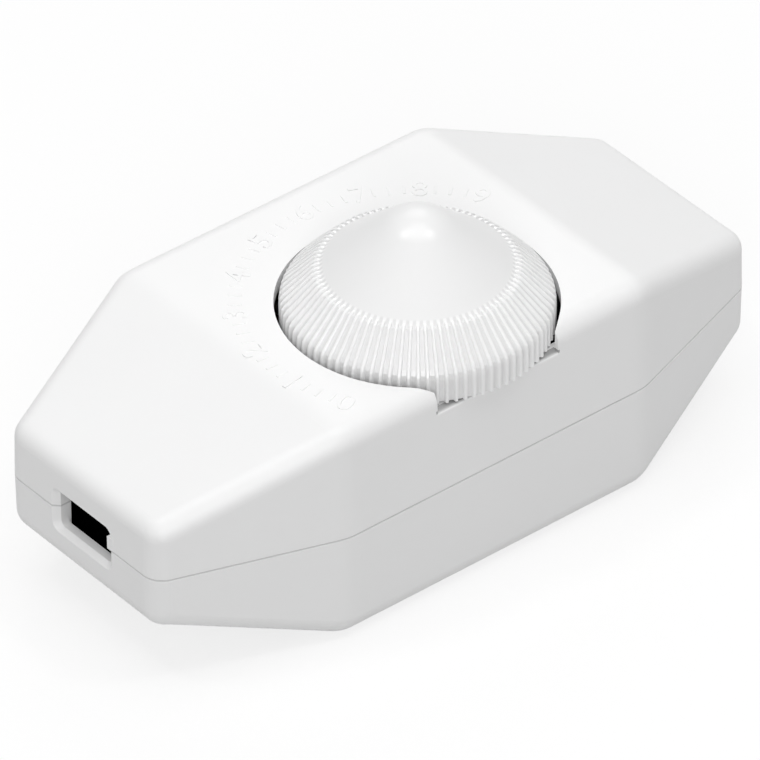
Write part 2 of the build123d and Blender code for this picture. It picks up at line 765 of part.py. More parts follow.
def fuse_clips():
    """Two sprung clips that hold the fuse by its caps, soldered into the board."""
    clips = []
    for y in fuse_ends():
        fuse = on_fuse(y, CAP_LONG, FUSE_R)
        clip = on_fuse(y, CLIP_LONG, FUSE_R + CLIP_WALL) - fuse
        clip -= standing((FUSE[0], y), (CLIP_MOUTH, CLIP_LONG), FUSE_Z, FUSE_Z + 2 * FUSE_R)
        foot = standing((FUSE[0], y), (CLIP_FOOT, CLIP_LONG / 2), BOARD_TOP, FUSE_Z - FUSE_R + CLIP_WALL)
        clip += foot - fuse
        clips.append(clip)
    return clips


def suppression_capacitor():
    """The moulded box of the mains capacitor."""
    box = standing(SUPPRESSOR, SUPPRESSOR_HALF, BOARD_TOP, BOARD_TOP + SUPPRESSOR_HIGH)
    return chamfer(box.edges().filter_by(Axis.Z) + box.edges().group_by(Axis.Z)[-1], SUPPRESSOR_ROUND)


def timing_capacitor():
    box = standing(TIMER, TIMER_HALF, BOARD_TOP, BOARD_TOP + TIMER_HIGH)
    return fillet(box.edges().filter_by(Axis.Z), TIMER_ROUND)


def axial_part(place, length, radius, turn):
    """A small round part that lies on the board, with its two wires bent down to the board."""
    body_z = radius + LEAD_LIFT
    reach = length / 2 + LEAD_REACH
    corners = [(-reach, 0, 0), (-reach, 0, body_z), (reach, 0, body_z), (reach, 0, 0)]
    route = FilletPolyline(*corners, radius=LEAD_BEND)
    wire = sweep(Plane(origin=route @ 0, z_dir=route % 0) * Circle(LEAD_R), route)
    body = lying(0, 0, body_z, length, radius)
    body = chamfer(body.edges().filter_by(GeomType.CIRCLE), radius * BODY_ROUND_SHARE)
    return Pos(*place, BOARD_TOP) * Rot(0, 0, turn) * (body + wire)


def gate_resistor():
    return axial_part(GATE, RESISTOR_LONG, RESISTOR_R, 90)


def timing_resistor():
    return axial_part(TIMING, RESISTOR_LONG, RESISTOR_R, 0)


def diac():
    return axial_part(DIAC, DIAC_LONG, DIAC_R, 0)


def triac():
    """A flat plastic body with a metal tab above it and three legs below."""
    low_y = TRIAC_Y - TRIAC_HALF
    high_y = TRIAC_Y + TRIAC_HALF
    body = block((SINK_X - TRIAC_THICK, low_y, TRIAC_LOW), (SINK_X, high_y, TRIAC_TOP))
    tab = block((SINK_X - TAB_THICK, low_y, TRIAC_TOP), (SINK_X, high_y, TAB_TOP))
    tab -= lying(SINK_X, TRIAC_Y, TAB_HOLE_Z, 2 * TRIAC_THICK, TAB_HOLE_R)
    legs = []
    for index in (-1, 0, 1):
        leg_y = TRIAC_Y + index * LEG_PITCH
        legs.append(block((SINK_X + LEG_X[0], leg_y - LEG_HALF, BOARD_TOP),
                          (SINK_X + LEG_X[1], leg_y + LEG_HALF, TRIAC_LOW)))
    return body + tab + legs


def heat_sink():
    """A bent aluminium plate that stands on the board, with its foot turned outwards."""
    plate = block((SINK_X, SINK_LOW_Y, BOARD_TOP), (SINK_X + SINK_THICK, SINK_HIGH_Y, SINK_TOP))
    foot = block((SINK_X, SINK_LOW_Y, BOARD_TOP), (SINK_X + SINK_FOOT, SINK_HIGH_Y, BOARD_TOP + SINK_THICK))
    sink = plate + foot
    bend = sink.edges().filter_by(Axis.Y).group_by(Axis.Z)[0].sort_by(Axis.X)[0]
    sink = fillet(bend, SINK_BEND)
    return sink - lying(SINK_X, TRIAC_Y, TAB_HOLE_Z, 2 * SINK_FOOT, SINK_HOLE_R)


def heat_sink_screw():
    """The screw through the triac's tab and the heat sink."""
    head_x = SINK_X - TAB_THICK
    end_x = SINK_X + SINK_SCREW_END
    head = lying(head_x - SINK_HEAD_H / 2, TRIAC_Y, TAB_HOLE_Z, SINK_HEAD_H, SINK_HEAD_R)
    shank = lying((head_x + end_x) / 2, TRIAC_Y, TAB_HOLE_Z, end_x - head_x, SINK_SCREW_R)
    reach, half, floor = SINK_DRIVE
    slot = block((head_x - SINK_HEAD_H - OVER, TRIAC_Y - reach, TAB_HOLE_Z - half),
                 (head_x - SINK_HEAD_H / 2 - floor, TRIAC_Y + reach, TAB_HOLE_Z + half))
    return head + shank - slot


def heat_sink_nut():
    start_x = SINK_X + SINK_THICK
    nut = Pos(start_x, TRIAC_Y, TAB_HOLE_Z) * Rot(0, 90, 0) * extrude(RegularPolygon(NUT_R, 6), amount=NUT_H)
    return nut - lying(start_x, TRIAC_Y, TAB_HOLE_Z, 4 * NUT_H, SINK_SCREW_R)


def trimmer():
    """The preset for the lowest light level, turned with a screwdriver before the case is closed."""
    x, y = TRIMMER
    body_top = BOARD_TOP + TRIMMER_BODY_H
    knob_top = body_top + TRIMMER_KNOB_H
    box = standing(TRIMMER, TRIMMER_HALF, BOARD_TOP, body_top)
    box += tube(x, y, body_top, knob_top, TRIMMER_KNOB_R)
    slot_half = (TRIMMER_KNOB_R, TRIMMER_SLOT_HALF)
    return box - standing(TRIMMER, slot_half, knob_top - TRIMMER_SLOT_DEEP, knob_top + OVER)


def terminal_block():
    """A two-pole block: each pole has a wire hole that faces the cord and a screw shaft above."""
    low_x = -TERMINAL_X - TERMINAL_LONG / 2
    body = standing((-TERMINAL_X, 0.0), (TERMINAL_LONG / 2, TERMINAL_WIDE / 2), BOARD_TOP, TERMINAL_TOP)
    body = chamfer(body.edges().filter_by(Axis.Y).group_by(Axis.Z)[-1], TERMINAL_BEVEL)
    for pole_y in (-POLE_Y, POLE_Y):
        body -= lying(low_x, pole_y, WIRE_Z, 2 * (TERMINAL_LONG - TERMINAL_BACK), WIRE_R)
        body -= tube(-TERMINAL_X, pole_y, WIRE_Z, TERMINAL_TOP + OVER, TERMINAL_SCREW_R)
    return body


def terminal_screws():
    """One short screw over each wire hole of both blocks."""
    screws = []
    for x in (-TERMINAL_X, TERMINAL_X):
        for pole_y in (-POLE_Y, POLE_Y):
            screw = tube(x, pole_y, TERMINAL_SCREW_LOW, TERMINAL_SCREW_TOP, TERMINAL_SCREW_R)
            slot_half = (TERMINAL_SCREW_R + OVER, SCREW_SLOT_HALF)
            screw -= standing((x, pole_y), slot_half, TERMINAL_SCREW_TOP - SCREW_SLOT_DEEP, TERMINAL_TOP)
            screws.append(screw)
    return screws


# Cord clamps and screws

def cord_clamp():
    """The bar over the cord at the -X end, which rests on its two posts."""
    bar = standing((-CLAMP_X, 0.0), (CLAMP_WIDE / 2, CLAMP_SCREW_Y + CLAMP_END),
                   CLAMP_BAR_Z, CLAMP_BAR_Z + CLAMP_BAR_H)
    bar = fillet(bar.edges().filter_by(Axis.Z), CLAMP_CORNER)
    for side_y in (-CLAMP_SCREW_Y, CLAMP_SCREW_Y):
        bar -= tube(-CLAMP_X, side_y, CLAMP_BAR_Z - OVER, CLAMP_BAR_Z + CLAMP_BAR_H + OVER, CLAMP_HOLE_R)
    return bar


def self_tapper(x, y, seat, length, shank_r, head_r, head_h):
    """A pan head screw driven down from its seat, with a cross drive."""
    screw = tube(x, y, seat - length, seat, shank_r)
    head = tube(x, y, seat, seat + head_h, head_r)
    head = fillet(head.edges().group_by(Axis.Z)[-1], head_h * CROWN_SHARE)
    arm = head_r * DRIVE_REACH
    thick = head_r * DRIVE_HALF
    low = seat + head_h * (1 - DRIVE_DEPTH)
    high = seat + head_h + OVER
    cross = standing((x, y), (arm, thick), low, high) + standing((x, y), (thick, arm), low, high)
    return screw + head - cross


def clamp_screws():
    screws = []
    seat = CLAMP_BAR_Z + CLAMP_BAR_H
    for x in (-CLAMP_X, CLAMP_X):
        for side_y in (-CLAMP_SCREW_Y, CLAMP_SCREW_Y):
            screws.append(self_tapper(x, side_y, seat, CLAMP_BAR_H + CLAMP_GRIP,
                                      CLAMP_SHANK_R, CLAMP_HEAD_R, CLAMP_HEAD_H))
    return screws


def board_screws():
    length = BOARD_THICK + BOARD_GRIP
    return [self_tapper(x, y, BOARD_TOP, length, BOARD_SHANK_R, BOARD_HEAD_R, BOARD_HEAD_H)
            for x, y in BOARD_POSTS]


def case_screws():
    """Four screws whose heads sit deep in the base."""
    screws = []
    for place in boss_places():
        screw = self_tapper(0, 0, -HEAD_SEAT, SHANK_END - HEAD_SEAT, SHANK_R, HEAD_R, HEAD_H)
        screws.append(place * Rot(180, 0, 0) * screw)
    return screws


def half_turned(piece):
    return Rot(0, 0, 180) * piece


NODES = {
    "upper_shell": upper_shell,
    "lower_shell": lower_shell,
    "case_screws": case_screws,
    "dimmer_wheel": dimmer_wheel,
    "pot_shaft": pot_shaft,
    "pot_wiper": pot_wiper,
    "pot_track": pot_track,
    "pot_pins": pot_pins,
    "pot_case": pot_case,
    "pot_bushing": pot_bushing,
    "off_switch": off_switch,
    "circuit_board": circuit_board,
    "board_screws": board_screws,
    "choke_core": choke_core,
    "choke_winding": choke_winding,
    "fuse_tube": fuse_tube,
    "fuse_caps": fuse_caps,
    "fuse_clips": fuse_clips,
    "suppression_capacitor": suppression_capacitor,
    "timing_capacitor": timing_capacitor,
    "gate_resistor": gate_resistor,
    "timing_resistor": timing_resistor,
    "diac": diac,
    "triac": triac,
    "heat_sink": heat_sink,
    "heat_sink_screw": heat_sink_screw,
    "heat_sink_nut": heat_sink_nut,
    "trimmer": trimmer,
    "terminal_block_in": terminal_block,
    "terminal_block_out": lambda: half_turned(terminal_block()),
    "terminal_screws": terminal_screws,
    "cord_clamp_in": cord_clamp,
    "cord_clamp_out": lambda: half_turned(cord_clamp()),
    "clamp_screws": clamp_screws,
}


def main():
    os.makedirs("parts", exist_ok=True)
    for name, make in NODES.items():
        made = make()
        solids = made if isinstance(made, list) else made.solids()
        shape = Compound(children=[s for group in solids for s in group.solids()])
        shape.label = name
        export_step(shape, f"parts/{name}.step")


if __name__ == "__main__":
    main()
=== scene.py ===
# An inline cord dimmer: a white two-shell housing with a ribbed thumb wheel, on a pale floor.
import json
import math

import bmesh
import bpy
from mathutils import Matrix, Vector


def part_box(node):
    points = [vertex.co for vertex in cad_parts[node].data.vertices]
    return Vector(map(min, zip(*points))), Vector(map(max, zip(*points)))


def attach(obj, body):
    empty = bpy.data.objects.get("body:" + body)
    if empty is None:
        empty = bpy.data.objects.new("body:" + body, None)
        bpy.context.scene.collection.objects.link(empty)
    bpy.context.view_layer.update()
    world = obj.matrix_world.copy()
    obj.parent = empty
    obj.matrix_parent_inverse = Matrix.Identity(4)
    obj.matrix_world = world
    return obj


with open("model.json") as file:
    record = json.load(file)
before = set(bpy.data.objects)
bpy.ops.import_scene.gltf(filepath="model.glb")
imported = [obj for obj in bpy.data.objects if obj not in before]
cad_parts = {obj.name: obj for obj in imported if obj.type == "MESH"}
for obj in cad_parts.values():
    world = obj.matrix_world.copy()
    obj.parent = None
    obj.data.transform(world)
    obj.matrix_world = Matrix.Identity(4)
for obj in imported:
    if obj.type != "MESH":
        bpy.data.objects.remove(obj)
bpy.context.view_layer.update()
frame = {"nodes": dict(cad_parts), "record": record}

# The lengths below are in millimetres, unless they are multiplied by MM or a comment gives metres
MM = 0.001
WHITE = "#FFFFFF"

# Where the photo was taken from, solved together with the housing's proportions
VIEW_AZIMUTH = -39.215
VIEW_ELEVATION = 37.439
VIEW_ROLL = -0.279
VIEW_LENS_MM = 538.93
VIEW_SENSOR_MM = 36.0
VIEW_AIM_Z = 15 * MM
VIEW_AIM_RIGHT = 0.2525 * MM
VIEW_AIM_UP = 0.3405 * MM
# In metres
VIEW_DISTANCE = 1.33693
VIEW_NEAREST = 0.05
VIEW_FARTHEST = 20.0


def linear(code):
    """A hex sRGB colour as linear red, green, blue and alpha."""
    channels = [int(code[i:i + 2], 16) / 255 for i in (1, 3, 5)]
    return [c / 12.92 if c <= 0.04045 else ((c + 0.055) / 1.055) ** 2.4 for c in channels] + [1.0]


def make_camera():
    """The camera at the photo's place, aimed so that the housing falls where it does in the photo."""
    azimuth = math.radians(VIEW_AZIMUTH)
    elevation = math.radians(VIEW_ELEVATION)
    turn = (Matrix.Rotation(azimuth, 4, "Z") @ Matrix.Rotation(math.pi / 2 - elevation, 4, "X")
            @ Matrix.Rotation(math.radians(VIEW_ROLL), 4, "Z"))
    data = bpy.data.cameras.new("photo_camera")
    data.lens = VIEW_LENS_MM
    data.sensor_width = VIEW_SENSOR_MM
    data.clip_start = VIEW_NEAREST
    data.clip_end = VIEW_FARTHEST
    camera = bpy.data.objects.new("photo_camera", data)
    bpy.context.collection.objects.link(camera)
    aside = turn.to_3x3() @ Vector((-VIEW_AIM_RIGHT, -VIEW_AIM_UP, VIEW_DISTANCE))
    camera.matrix_world = Matrix.Translation(Vector((0, 0, VIEW_AIM_Z)) + aside) @ turn
    bpy.context.scene.camera = camera


# Materials

# Sockets of the colour mix node, which has several of the same name
MIX_SHARE = 0
MIX_FIRST = 6
MIX_SECOND = 7
MIX_COLOUR = 2
COLOURS = {"data_type": "RGBA"}

ABS_IOR = 1.53
POLYAMIDE_IOR = 1.53
RESIN_IOR = 1.55
FERRITE_IOR = 1.6
GLASS_IOR = 1.51
ENAMEL_IOR = 1.5


class Nodes:
    """A node tree in the making, of a material or of the world."""

    def __init__(self, tree):
        self.tree = tree

    def feed(self, node, inputs):
        """Gives a node's inputs their values, or links them to other nodes' outputs."""
        for name, value in inputs.items():
            if isinstance(value, bpy.types.NodeSocket):
                self.tree.links.new(value, node.inputs[name])
            else:
                node.inputs[name].default_value = value

    def add(self, kind, settings=None, inputs=None):
        """Adds a node with its settings and its input values or links."""
        node = self.tree.nodes.new(kind)
        for name, value in (settings or {}).items():
            setattr(node, name, value)
        self.feed(node, inputs or {})
        return node


class Finish(Nodes):
    """A material in the making: its nodes, and the principled shader that they feed."""

    def __init__(self, name, surface=None):
        self.material = bpy.data.materials.new(name)
        self.material.use_nodes = True
        super().__init__(self.material.node_tree)
        self.shader = self.tree.nodes["Principled BSDF"]
        self.feed(self.shader, surface or {})


def scale_for(size_mm):
    """The scale at which a pattern repeats about once in a real size in millimetres."""
    return 1 / (size_mm * MM)


def moulded(name, colour, shade, ior, roughness, grain_mm, grain_deep_mm, flow_mm=14.0, uneven=0.05):
    """Injection moulded plastic: an even colour with the tool's grain, and faint clouds of flow."""
    finish = Finish(name, {"IOR": ior})
    place = finish.add("ShaderNodeTexCoord").outputs["Object"]
    cloud = finish.add("ShaderNodeTexNoise", inputs={
        "Vector": place, "Scale": scale_for(flow_mm), "Detail": 2.0})
    grain = finish.add("ShaderNodeTexNoise", inputs={
        "Vector": place, "Scale": scale_for(grain_mm), "Detail": 3.0})
    base = finish.add("ShaderNodeMix", COLOURS, {
        MIX_SHARE: cloud.outputs["Fac"], MIX_FIRST: linear(colour), MIX_SECOND: linear(shade)})
    spread = finish.add("ShaderNodeMapRange", inputs={
        "Value": grain.outputs["Fac"], "To Min": roughness - uneven, "To Max": roughness + uneven})
    relief = finish.add("ShaderNodeBump", inputs={
        "Height": grain.outputs["Fac"], "Strength": 1.0, "Distance": grain_deep_mm * MM})
    finish.feed(finish.shader, {
        "Base Color": base.outputs[MIX_COLOUR],
        "Roughness": spread.outputs["Result"],
        "Normal": relief.outputs["Normal"],
    })
    return finish, place, base.outputs[MIX_COLOUR]


STAIN_MM = 3.0
# How far streaks take the roughness down and up
STREAK_SMOOTHER = 0.08
STREAK_ROUGHER = 0.1


def worked_metal(name, colour, tarnish, roughness, streaks_mm, deep_mm):
    """Bare or plated metal: streaks along the way it was worked, and a little tarnish."""
    finish = Finish(name, {"Metallic": 1.0})
    place = finish.add("ShaderNodeTexCoord").outputs["Object"]
    drawn = finish.add("ShaderNodeMapping", inputs={
        "Vector": place, "Scale": [scale_for(size) for size in streaks_mm]})
    streak = finish.add("ShaderNodeTexNoise", inputs={
        "Vector": drawn.outputs["Vector"], "Scale": 1.0, "Detail": 2.0})
    stain = finish.add("ShaderNodeTexNoise", inputs={
        "Vector": place, "Scale": scale_for(STAIN_MM), "Detail": 3.0})
    base = finish.add("ShaderNodeMix", COLOURS, {
        MIX_SHARE: stain.outputs["Fac"], MIX_FIRST: linear(colour), MIX_SECOND: linear(tarnish)})
    spread = finish.add("ShaderNodeMapRange", inputs={
        "Value": streak.outputs["Fac"], "To Min": roughness - STREAK_SMOOTHER,
        "To Max": roughness + STREAK_ROUGHER})
    relief = finish.add("ShaderNodeBump", inputs={
        "Height": streak.outputs["Fac"], "Strength": 1.0, "Distance": deep_mm * MM})
    finish.feed(finish.shader, {
        "Base Color": base.outputs[MIX_COLOUR],
        "Roughness": spread.outputs["Result"],
        "Normal": relief.outputs["Normal"],
    })
    return finish


# The housing's outer form on either side of the parting line, for what lies inside its ends
PARTING_Z = 15.0
END_X = 45.0
SHOULDER_X = 22.4
END_HALF, SIDE_HALF = 13.55, 21.3
END_RISE, TOP_RISE = 6.95, 15.0

# What counts as inside an end: a stretch along it, and a depth below the outer faces
SHADED_FROM, SHADED_TO = 26.0, 42.6
SHADED_WALL = 1.3


def inside_end(finish, place):
    """One on the inner faces of the walls near each end, where shade is painted, and nought on the
    housing's outside.
    """
    folded = finish.add("ShaderNodeVectorMath", {"operation": "SUBTRACT"}, {
        0: place, 1: (0, 0, PARTING_Z * MM)})
    folded = finish.add("ShaderNodeVectorMath", {"operation": "ABSOLUTE"}, {0: folded.outputs[0]})
    along = finish.add("ShaderNodeSeparateXYZ", inputs={"Vector": folded.outputs[0]}).outputs["X"]
    middle_x = (SHADED_FROM + SHADED_TO) / 2
    half_long = (SHADED_TO - SHADED_FROM) / 2
    share = finish.add("ShaderNodeMath", {"operation": "COMPARE"}, {
        0: along, 1: middle_x * MM, 2: half_long * MM})
    for across, end, middle in (((1, 0), END_HALF, SIDE_HALF), ((0, 1), END_RISE, TOP_RISE)):
        slope = (middle - end) / (END_X - SHOULDER_X)
        reach = end + slope * END_X - SHADED_WALL * math.hypot(1, slope)
        out = finish.add("ShaderNodeVectorMath", {"operation": "DOT_PRODUCT"}, {
            0: folded.outputs[0], 1: (slope, *across)})
        within = finish.add("ShaderNodeMath", {"operation": "LESS_THAN"}, {
            0: out.outputs["Value"], 1: reach * MM})
        share = finish.add("ShaderNodeMath", {"operation": "MULTIPLY"}, {
            0: share.outputs[0], 1: within.outputs[0]})
    return share.outputs[0]


# The notch in the long wall, from which the wheel stands out. Its painted shade lies on the wall's
# thickness beyond NOTCH_FACE_Y, and fades out over NOTCH_FADE where the floor rounds down to the wall's
# face.
NOTCH_X, NOTCH_HALF = 0.12, 9.3
NOTCH_FACE_Y = -20.0
NOTCH_FLOOR_Z = 26.55
NOTCH_FADE = 0.2
NOTCH_OVER = 0.3


def under_wheel(finish, place):
    """One on the notch's floor just below the wheel, where shade is painted, fading to nought at its
    eased edge.
    """
    parts = finish.add("ShaderNodeSeparateXYZ", inputs={"Vector": place}).outputs
    depth = finish.add("ShaderNodeMapRange", inputs={
        "Value": parts["Z"], "From Min": (NOTCH_FLOOR_Z - NOTCH_FADE) * MM,
        "From Max": NOTCH_FLOOR_Z * MM})
    share = depth.outputs["Result"]
    limits = (
        ("COMPARE", parts["X"], NOTCH_X, NOTCH_HALF),
        ("LESS_THAN", parts["Y"], NOTCH_FACE_Y, 0.0),
        ("LESS_THAN", parts["Z"], NOTCH_FLOOR_Z + NOTCH_OVER, 0.0),
    )
    for operation, value, limit, reach in limits:
        within = finish.add("ShaderNodeMath", {"operation": operation}, {
            0: value, 1: limit * MM, 2: reach * MM})
        share = finish.add("ShaderNodeMath", {"operation": "MULTIPLY"}, {
            0: share, 1: within.outputs[0]}).outputs[0]
    return share


HOUSING_WHITE = "#F3F3F3"
HOUSING_SHADE = "#F1F1F1"
SEAM_PAINTED_SHADE = "#D2D2D2"
# How far from the parting line the painted shade begins to fade, and where it is gone
SEAM_DARK, SEAM_CLEAR = 0.08, 0.16
NOTCH_PAINTED_SHADE = "#A6A6A6"
THROAT_PAINTED_SHADE = "#050505"
# The shader's own specular level
USUAL_SHEEN = 0.5


def satin_abs_housing():
    """Moulded ABS with a fine spark-eroded grain: bright and even, with broad soft highlights."""
    # The grain is drawn about three times as coarse as the real one, so that it shows
    finish, place, white = moulded(
        "moulded_satin_abs", HOUSING_WHITE, HOUSING_SHADE, ABS_IOR, roughness=0.42,
        grain_mm=0.3, grain_deep_mm=0.004)
    # Painted shade: a grey in the bevel between the shells, which draws the parting line
    height = finish.add("ShaderNodeSeparateXYZ", inputs={"Vector": place}).outputs["Z"]
    above = finish.add("ShaderNodeMath", {"operation": "SUBTRACT"}, {0: height, 1: PARTING_Z * MM})
    off = finish.add("ShaderNodeMath", {"operation": "ABSOLUTE"}, {0: above.outputs[0]})
    seam_shade = finish.add("ShaderNodeMapRange", inputs={
        "Value": off.outputs[0], "From Min": SEAM_DARK * MM, "From Max": SEAM_CLEAR * MM,
        "To Min": 1.0, "To Max": 0.0})
    seam_shaded = finish.add("ShaderNodeMix", COLOURS, {
        MIX_SHARE: seam_shade.outputs["Result"], MIX_FIRST: white, MIX_SECOND: linear(SEAM_PAINTED_SHADE)})
    # The gap under the wheel is darker in the photo than these soft lamps leave it
    # Painted shade: a grey on the notch's floor under the wheel
    notch_shaded = finish.add("ShaderNodeMix", COLOURS, {
        MIX_SHARE: under_wheel(finish, place), MIX_FIRST: seam_shaded.outputs[MIX_COLOUR],
        MIX_SECOND: linear(NOTCH_PAINTED_SHADE)})
    # Behind each cord slot the plastic is drawn black and dull, as the photo shows no light in there
    # Painted shade: near-black on the inner walls behind each cord slot, with the sheen taken off there
    throat_shade = inside_end(finish, place)
    base = finish.add("ShaderNodeMix", COLOURS, {
        MIX_SHARE: throat_shade, MIX_FIRST: notch_shaded.outputs[MIX_COLOUR],
        MIX_SECOND: linear(THROAT_PAINTED_SHADE)})
    sheen = finish.add("ShaderNodeMapRange", inputs={
        "Value": throat_shade, "To Min": USUAL_SHEEN, "To Max": 0.0})
    finish.feed(finish.shader, {
        "Base Color": base.outputs[MIX_COLOUR], "Specular IOR Level": sheen.outputs["Result"]})
    return finish.material


def wave_round(finish, aside, count, start=0.0):
    """A wave with so many crests round an upright axis; aside is the way out from that axis."""
    parts = finish.add("ShaderNodeSeparateXYZ", inputs={"Vector": aside})
    turn = finish.add("ShaderNodeMath", {"operation": "ARCTAN2"}, {
        0: parts.outputs["Y"], 1: parts.outputs["X"]})
    phase = finish.add("ShaderNodeMath", {"operation": "MULTIPLY_ADD"}, {
        0: turn.outputs[0], 1: count, 2: -count * start})
    return finish.add("ShaderNodeMath", {"operation": "COSINE"}, {0: phase.outputs[0]}).outputs[0]


WHEEL_AXIS = (0.35, -6.15)
WHEEL_WHITE = "#F0F0F0"
WHEEL_SHADE = "#EFEFEF"
RIBS = 90
# Where the first rib's crest stands
RIB_TURN = math.radians(-1.24)
# How much of the wave, to either side of its middle, the step from groove to crest takes
RIB_SOFT = 0.5
RIB_CREST_PAINTED_HIGHLIGHT = "#F8F8F8"
RIB_GROOVE_PAINTED_SHADE = "#E6E6E6"
# The smooth cone's radius, and that from which the ribs run outwards
SMOOTH_TO, RIBBED_FROM = 11.0, 11.2


def polished_abs_wheel():
    """ABS from a polished tool: glossier than the housing, with small bright highlights on the tip."""
    # A polished tool leaves no grain, only long and very shallow waves
    finish, place, white = moulded(
        "moulded_polished_abs", WHEEL_WHITE, WHEEL_SHADE, ABS_IOR, roughness=0.28,
        grain_mm=2.5, grain_deep_mm=0.0004, uneven=0.01)
    # Painted shade in the grooves between the ribs, and a painted highlight on their crests
    axis = (WHEEL_AXIS[0] * MM, WHEEL_AXIS[1] * MM, 0)
    aside = finish.add("ShaderNodeVectorMath", {"operation": "SUBTRACT"}, {0: place, 1: axis})
    level = finish.add("ShaderNodeVectorMath", {"operation": "MULTIPLY"}, {
        0: aside.outputs[0], 1: (1, 1, 0)})
    radius = finish.add("ShaderNodeVectorMath", {"operation": "LENGTH"}, {0: level.outputs[0]})
    crest = finish.add("ShaderNodeMapRange", inputs={
        "Value": wave_round(finish, aside.outputs[0], RIBS, RIB_TURN),
        "From Min": -RIB_SOFT, "From Max": RIB_SOFT})
    painted_ribs = finish.add("ShaderNodeMix", COLOURS, {
        MIX_SHARE: crest.outputs["Result"], MIX_FIRST: linear(RIB_GROOVE_PAINTED_SHADE),
        MIX_SECOND: linear(RIB_CREST_PAINTED_HIGHLIGHT)})
    ribbed = finish.add("ShaderNodeMapRange", inputs={
        "Value": radius.outputs["Value"], "From Min": SMOOTH_TO * MM, "From Max": RIBBED_FROM * MM})
    base = finish.add("ShaderNodeMix", COLOURS, {
        MIX_SHARE: ribbed.outputs["Result"], MIX_FIRST: white, MIX_SECOND: painted_ribs.outputs[MIX_COLOUR]})
    finish.feed(finish.shader, {"Base Color": base.outputs[MIX_COLOUR]})
    return finish.material


# Finishes of the pieces inside. Real drawing lines and filler are finer than the 0.1 mm or so that
# they are drawn at here, and real tool grain and plating mottle are finer than their 0.2 to 0.5 mm,
# because nothing finer than a pixel, 0.12 mm, can show.


def zinc_plated_screws():
    """Cold-headed steel, bright zinc plated: pale and a little blue, with a soft sheen."""
    return worked_metal("zinc_plated_steel", "#C9CDD2", "#B3B4B0", roughness=0.3,
                        streaks_mm=(0.5, 0.5, 0.5), deep_mm=0.002).material


def drawn_aluminium():
    """Aluminium drawn to a bar or sheet: pale, with fine lines along its length."""
    return worked_metal("drawn_aluminium", "#D9DADC", "#C6C7C9", roughness=0.34,
                        streaks_mm=(0.12, 0.12, 6.0), deep_mm=0.004).material


def nickel_plated_can():
    """Thin steel, deep drawn and nickel plated: a warm grey mirror with faint rings of drawing."""
    return worked_metal("nickel_plated_steel", "#C4C0B6", "#AEA99E", roughness=0.26,
                        streaks_mm=(4.0, 4.0, 0.15), deep_mm=0.003).material


def tinned_brass():
    """Stamped brass with a hot tin coat: silvery and slightly mottled, with brass showing through."""
    return worked_metal("tinned_brass", "#D4D1C6", "#C2B48C", roughness=0.28,
                        streaks_mm=(0.8, 0.8, 0.8), deep_mm=0.004).material


def black_moulding_compound():
    """Pressed phenolic or epoxy compound: black and dull, with a fine sparkle of filler."""
    return moulded("pressed_black_compound", "#1B1B1D", "#242425", RESIN_IOR, roughness=0.5,
                   grain_mm=0.08, grain_deep_mm=0.006, flow_mm=2.0)[0].material


def green_polyamide():
    """Moulded polyamide terminals: flat green with a slight waxy sheen."""
    return moulded("moulded_green_polyamide", "#3B7B55", "#36714E", POLYAMIDE_IOR, roughness=0.42,
                   grain_mm=0.3, grain_deep_mm=0.004, flow_mm=5.0)[0].material


def natural_polyamide():
    """Unpigmented moulded polyamide: a milky white that lets a little light in."""
    finish = moulded("moulded_natural_polyamide", "#EAE7DC", "#E2DED0", POLYAMIDE_IOR,
                     roughness=0.4, grain_mm=0.3, grain_deep_mm=0.004, flow_mm=5.0)[0]
    finish.feed(finish.shader, {
        "Subsurface Weight": 0.15, "Subsurface Radius": (1.0, 0.9, 0.7),
        "Subsurface Scale": 0.6 * MM})
    return finish.material


def blue_trimmer_moulding():
    """Moulded polyester in deep blue, smooth from a polished tool."""
    return moulded("moulded_blue_polyester", "#2F5FAE", "#2A56A0", RESIN_IOR, roughness=0.36,
                   grain_mm=0.2, grain_deep_mm=0.002, flow_mm=4.0)[0].material


def yellow_film_box():
    """The capacitors' moulded boxes: clean yellow, smooth, filled with resin from below."""
    return moulded("moulded_yellow_box", "#DDBB3A", "#D5B233", RESIN_IOR, roughness=0.34,
                   grain_mm=0.25, grain_deep_mm=0.003, flow_mm=6.0)[0].material


def sintered_ferrite():
    """Pressed and fired ferrite: near black and dull, with a rough grain."""
    return moulded("sintered_ferrite", "#303033", "#28282B", FERRITE_IOR, roughness=0.68,
                   grain_mm=0.12, grain_deep_mm=0.02, flow_mm=1.5)[0].material


FIBRES_MM = (2.5, 0.12, 0.3)
PATCH_MM = 6.0
FIBRE_DEEP = 0.004


